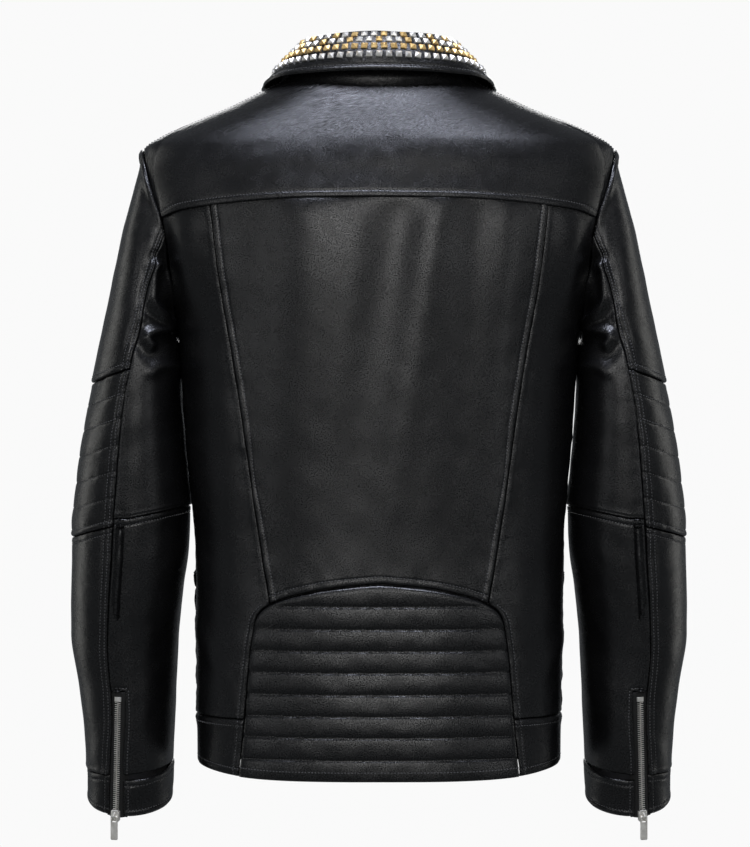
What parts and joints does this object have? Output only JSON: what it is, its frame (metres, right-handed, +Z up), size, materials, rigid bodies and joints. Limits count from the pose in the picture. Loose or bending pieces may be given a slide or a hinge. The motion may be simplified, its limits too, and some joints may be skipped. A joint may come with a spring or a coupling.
{
  "type": "leather riding jacket",
  "caption": "Black leather riding jacket with quilted elbow and lumbar pads, studded fold-over collar, cuff, pocket and front zips, and sleeves that lift.",
  "frame": {"origin": "bearing point of the hanger loop, on its underside, inside the back of the neck", "axes": "+Z up, +Y the way the wearer faces, +X the wearer's right"},
  "size_m": [0.6174, 0.2526, 0.7979],
  "materials": {
    "black_leather": "pebbled, semi-gloss",
    "black_lining": "satin",
    "zip_tape": "woven, matte",
    "nickel": "polished nickel",
    "gilt": "polished gilt"
  },
  "bodies": {
    "jacket": {"back_centre_panel": "black_leather", "back_side_panel_left": "black_leather", "back_side_panel_right": "black_leather", "collar_leaf": "black_leather", "collar_stand": "black_leather", "collar_studs_row_1": "nickel", "collar_studs_row_2": "gilt", "collar_studs_row_3": "nickel", "collar_studs_row_4": "gilt", "front_panel_left": "black_leather", "front_panel_right": "black_leather", "front_side_quilt_left": "black_leather", "front_side_quilt_right": "black_leather", "front_zip_box": "nickel", "front_zip_chain_left": "nickel", "front_zip_chain_right": "nickel", "hanger_loop": "black_leather", "lapel_left": "black_leather", "lapel_right": "black_leather", "lining_back": "black_lining", "lining_front_left": "black_lining", "lining_front_right": "black_lining", "lumbar_pad": "black_leather", "pocket_zip_left_chain": "nickel", "pocket_zip_right_chain": "nickel", "waistband_back_left": "black_leather", "waistband_back_right": "black_leather", "waistband_front_left": "black_leather", "waistband_front_right": "black_leather", "yoke": "black_leather"},
    "sleeve_left": {"cuff_band_left": "black_leather", "cuff_zip_left_stop": "nickel", "cuff_zip_left_tape": "zip_tape", "cuff_zip_left_teeth": "nickel", "elbow_pad_left": "black_leather", "sleeve_lining_left": "black_lining", "sleeve_top_lower_left": "black_leather", "sleeve_top_upper_left": "black_leather", "sleeve_under_lower_left": "black_leather", "sleeve_under_upper_left": "black_leather"},
    "cuff_slider_left": {"cuff_zip_left_slider": "nickel"},
    "cuff_pull_left": {"cuff_zip_left_pull": "nickel"},
    "pocket_slider_left": {"pocket_zip_left_slider": "nickel"},
    "pocket_pull_left": {"pocket_zip_left_pull": "nickel"},
    "sleeve_right": {"cuff_band_right": "black_leather", "cuff_zip_right_stop": "nickel", "cuff_zip_right_tape": "zip_tape", "cuff_zip_right_teeth": "nickel", "elbow_pad_right": "black_leather", "sleeve_lining_right": "black_lining", "sleeve_top_lower_right": "black_leather", "sleeve_top_upper_right": "black_leather", "sleeve_under_lower_right": "black_leather", "sleeve_under_upper_right": "black_leather"},
    "cuff_slider_right": {"cuff_zip_right_slider": "nickel"},
    "cuff_pull_right": {"cuff_zip_right_pull": "nickel"},
    "pocket_slider_right": {"pocket_zip_right_slider": "nickel"},
    "pocket_pull_right": {"pocket_zip_right_pull": "nickel"},
    "front_slider": {"front_zip_slider": "nickel"},
    "front_pull": {"front_zip_pull": "nickel"}
  },
  "joints": [
    {"name": "sleeve_left_lift", "type": "hinge", "parent": "jacket", "child": "sleeve_left", "pos_m": [-0.2335, 0.056, -0.0735], "axis": [0, 1, 0], "range_deg": [0, 45]},
    {"name": "sleeve_right_lift", "type": "hinge", "parent": "jacket", "child": "sleeve_right", "pos_m": [0.2335, 0.056, -0.0735], "axis": [0, -1, 0], "range_deg": [0, 45]},
    {"name": "cuff_zip_left_open", "type": "slide", "parent": "sleeve_left", "child": "cuff_slider_left", "axis": [0.0325, -0.174, 0.9842], "range_m": [0, 0.106]},
    {"name": "cuff_pull_left_swing", "type": "hinge", "parent": "cuff_slider_left", "child": "cuff_pull_left", "pos_m": [-0.2634, 0.03918, -0.74234], "axis": [-0.9604, 0.2786, 0], "range_deg": [0, 150]},
    {"name": "cuff_zip_right_open", "type": "slide", "parent": "sleeve_right", "child": "cuff_slider_right", "axis": [-0.0325, -0.174, 0.9842], "range_m": [0, 0.106]},
    {"name": "cuff_pull_right_swing", "type": "hinge", "parent": "cuff_slider_right", "child": "cuff_pull_right", "pos_m": [0.2634, 0.03918, -0.74234], "axis": [-0.9604, -0.2786, 0], "range_deg": [0, 150]},
    {"name": "front_zip_open", "type": "slide", "parent": "jacket", "child": "front_slider", "axis": [0, 0.0142, 0.9999], "range_m": [-0.47, 0]},
    {"name": "front_pull_swing", "type": "hinge", "parent": "front_slider", "child": "front_pull", "pos_m": [0, 0.17859, -0.20806], "axis": [1, 0, 0], "range_deg": [0, 150]},
    {"name": "pocket_zip_left_open", "type": "slide", "parent": "jacket", "child": "pocket_slider_left", "axis": [0.2383, 0.0796, 0.9679], "range_m": [-0.118, 0]},
    {"name": "pocket_pull_left_swing", "type": "hinge", "parent": "pocket_slider_left", "child": "pocket_pull_left", "pos_m": [-0.07588, 0.17658, -0.41272], "axis": [0.9442, 0.3295, 0], "range_deg": [0, 150]},
    {"name": "pocket_zip_right_open", "type": "slide", "parent": "jacket", "child": "pocket_slider_right", "axis": [-0.2383, 0.0796, 0.9679], "range_m": [-0.118, 0]},
    {"name": "pocket_pull_right_swing", "type": "hinge", "parent": "pocket_slider_right", "child": "pocket_pull_right", "pos_m": [0.07588, 0.17658, -0.41272], "axis": [0.9442, -0.3295, 0], "range_deg": [0, 150]}
  ]
}
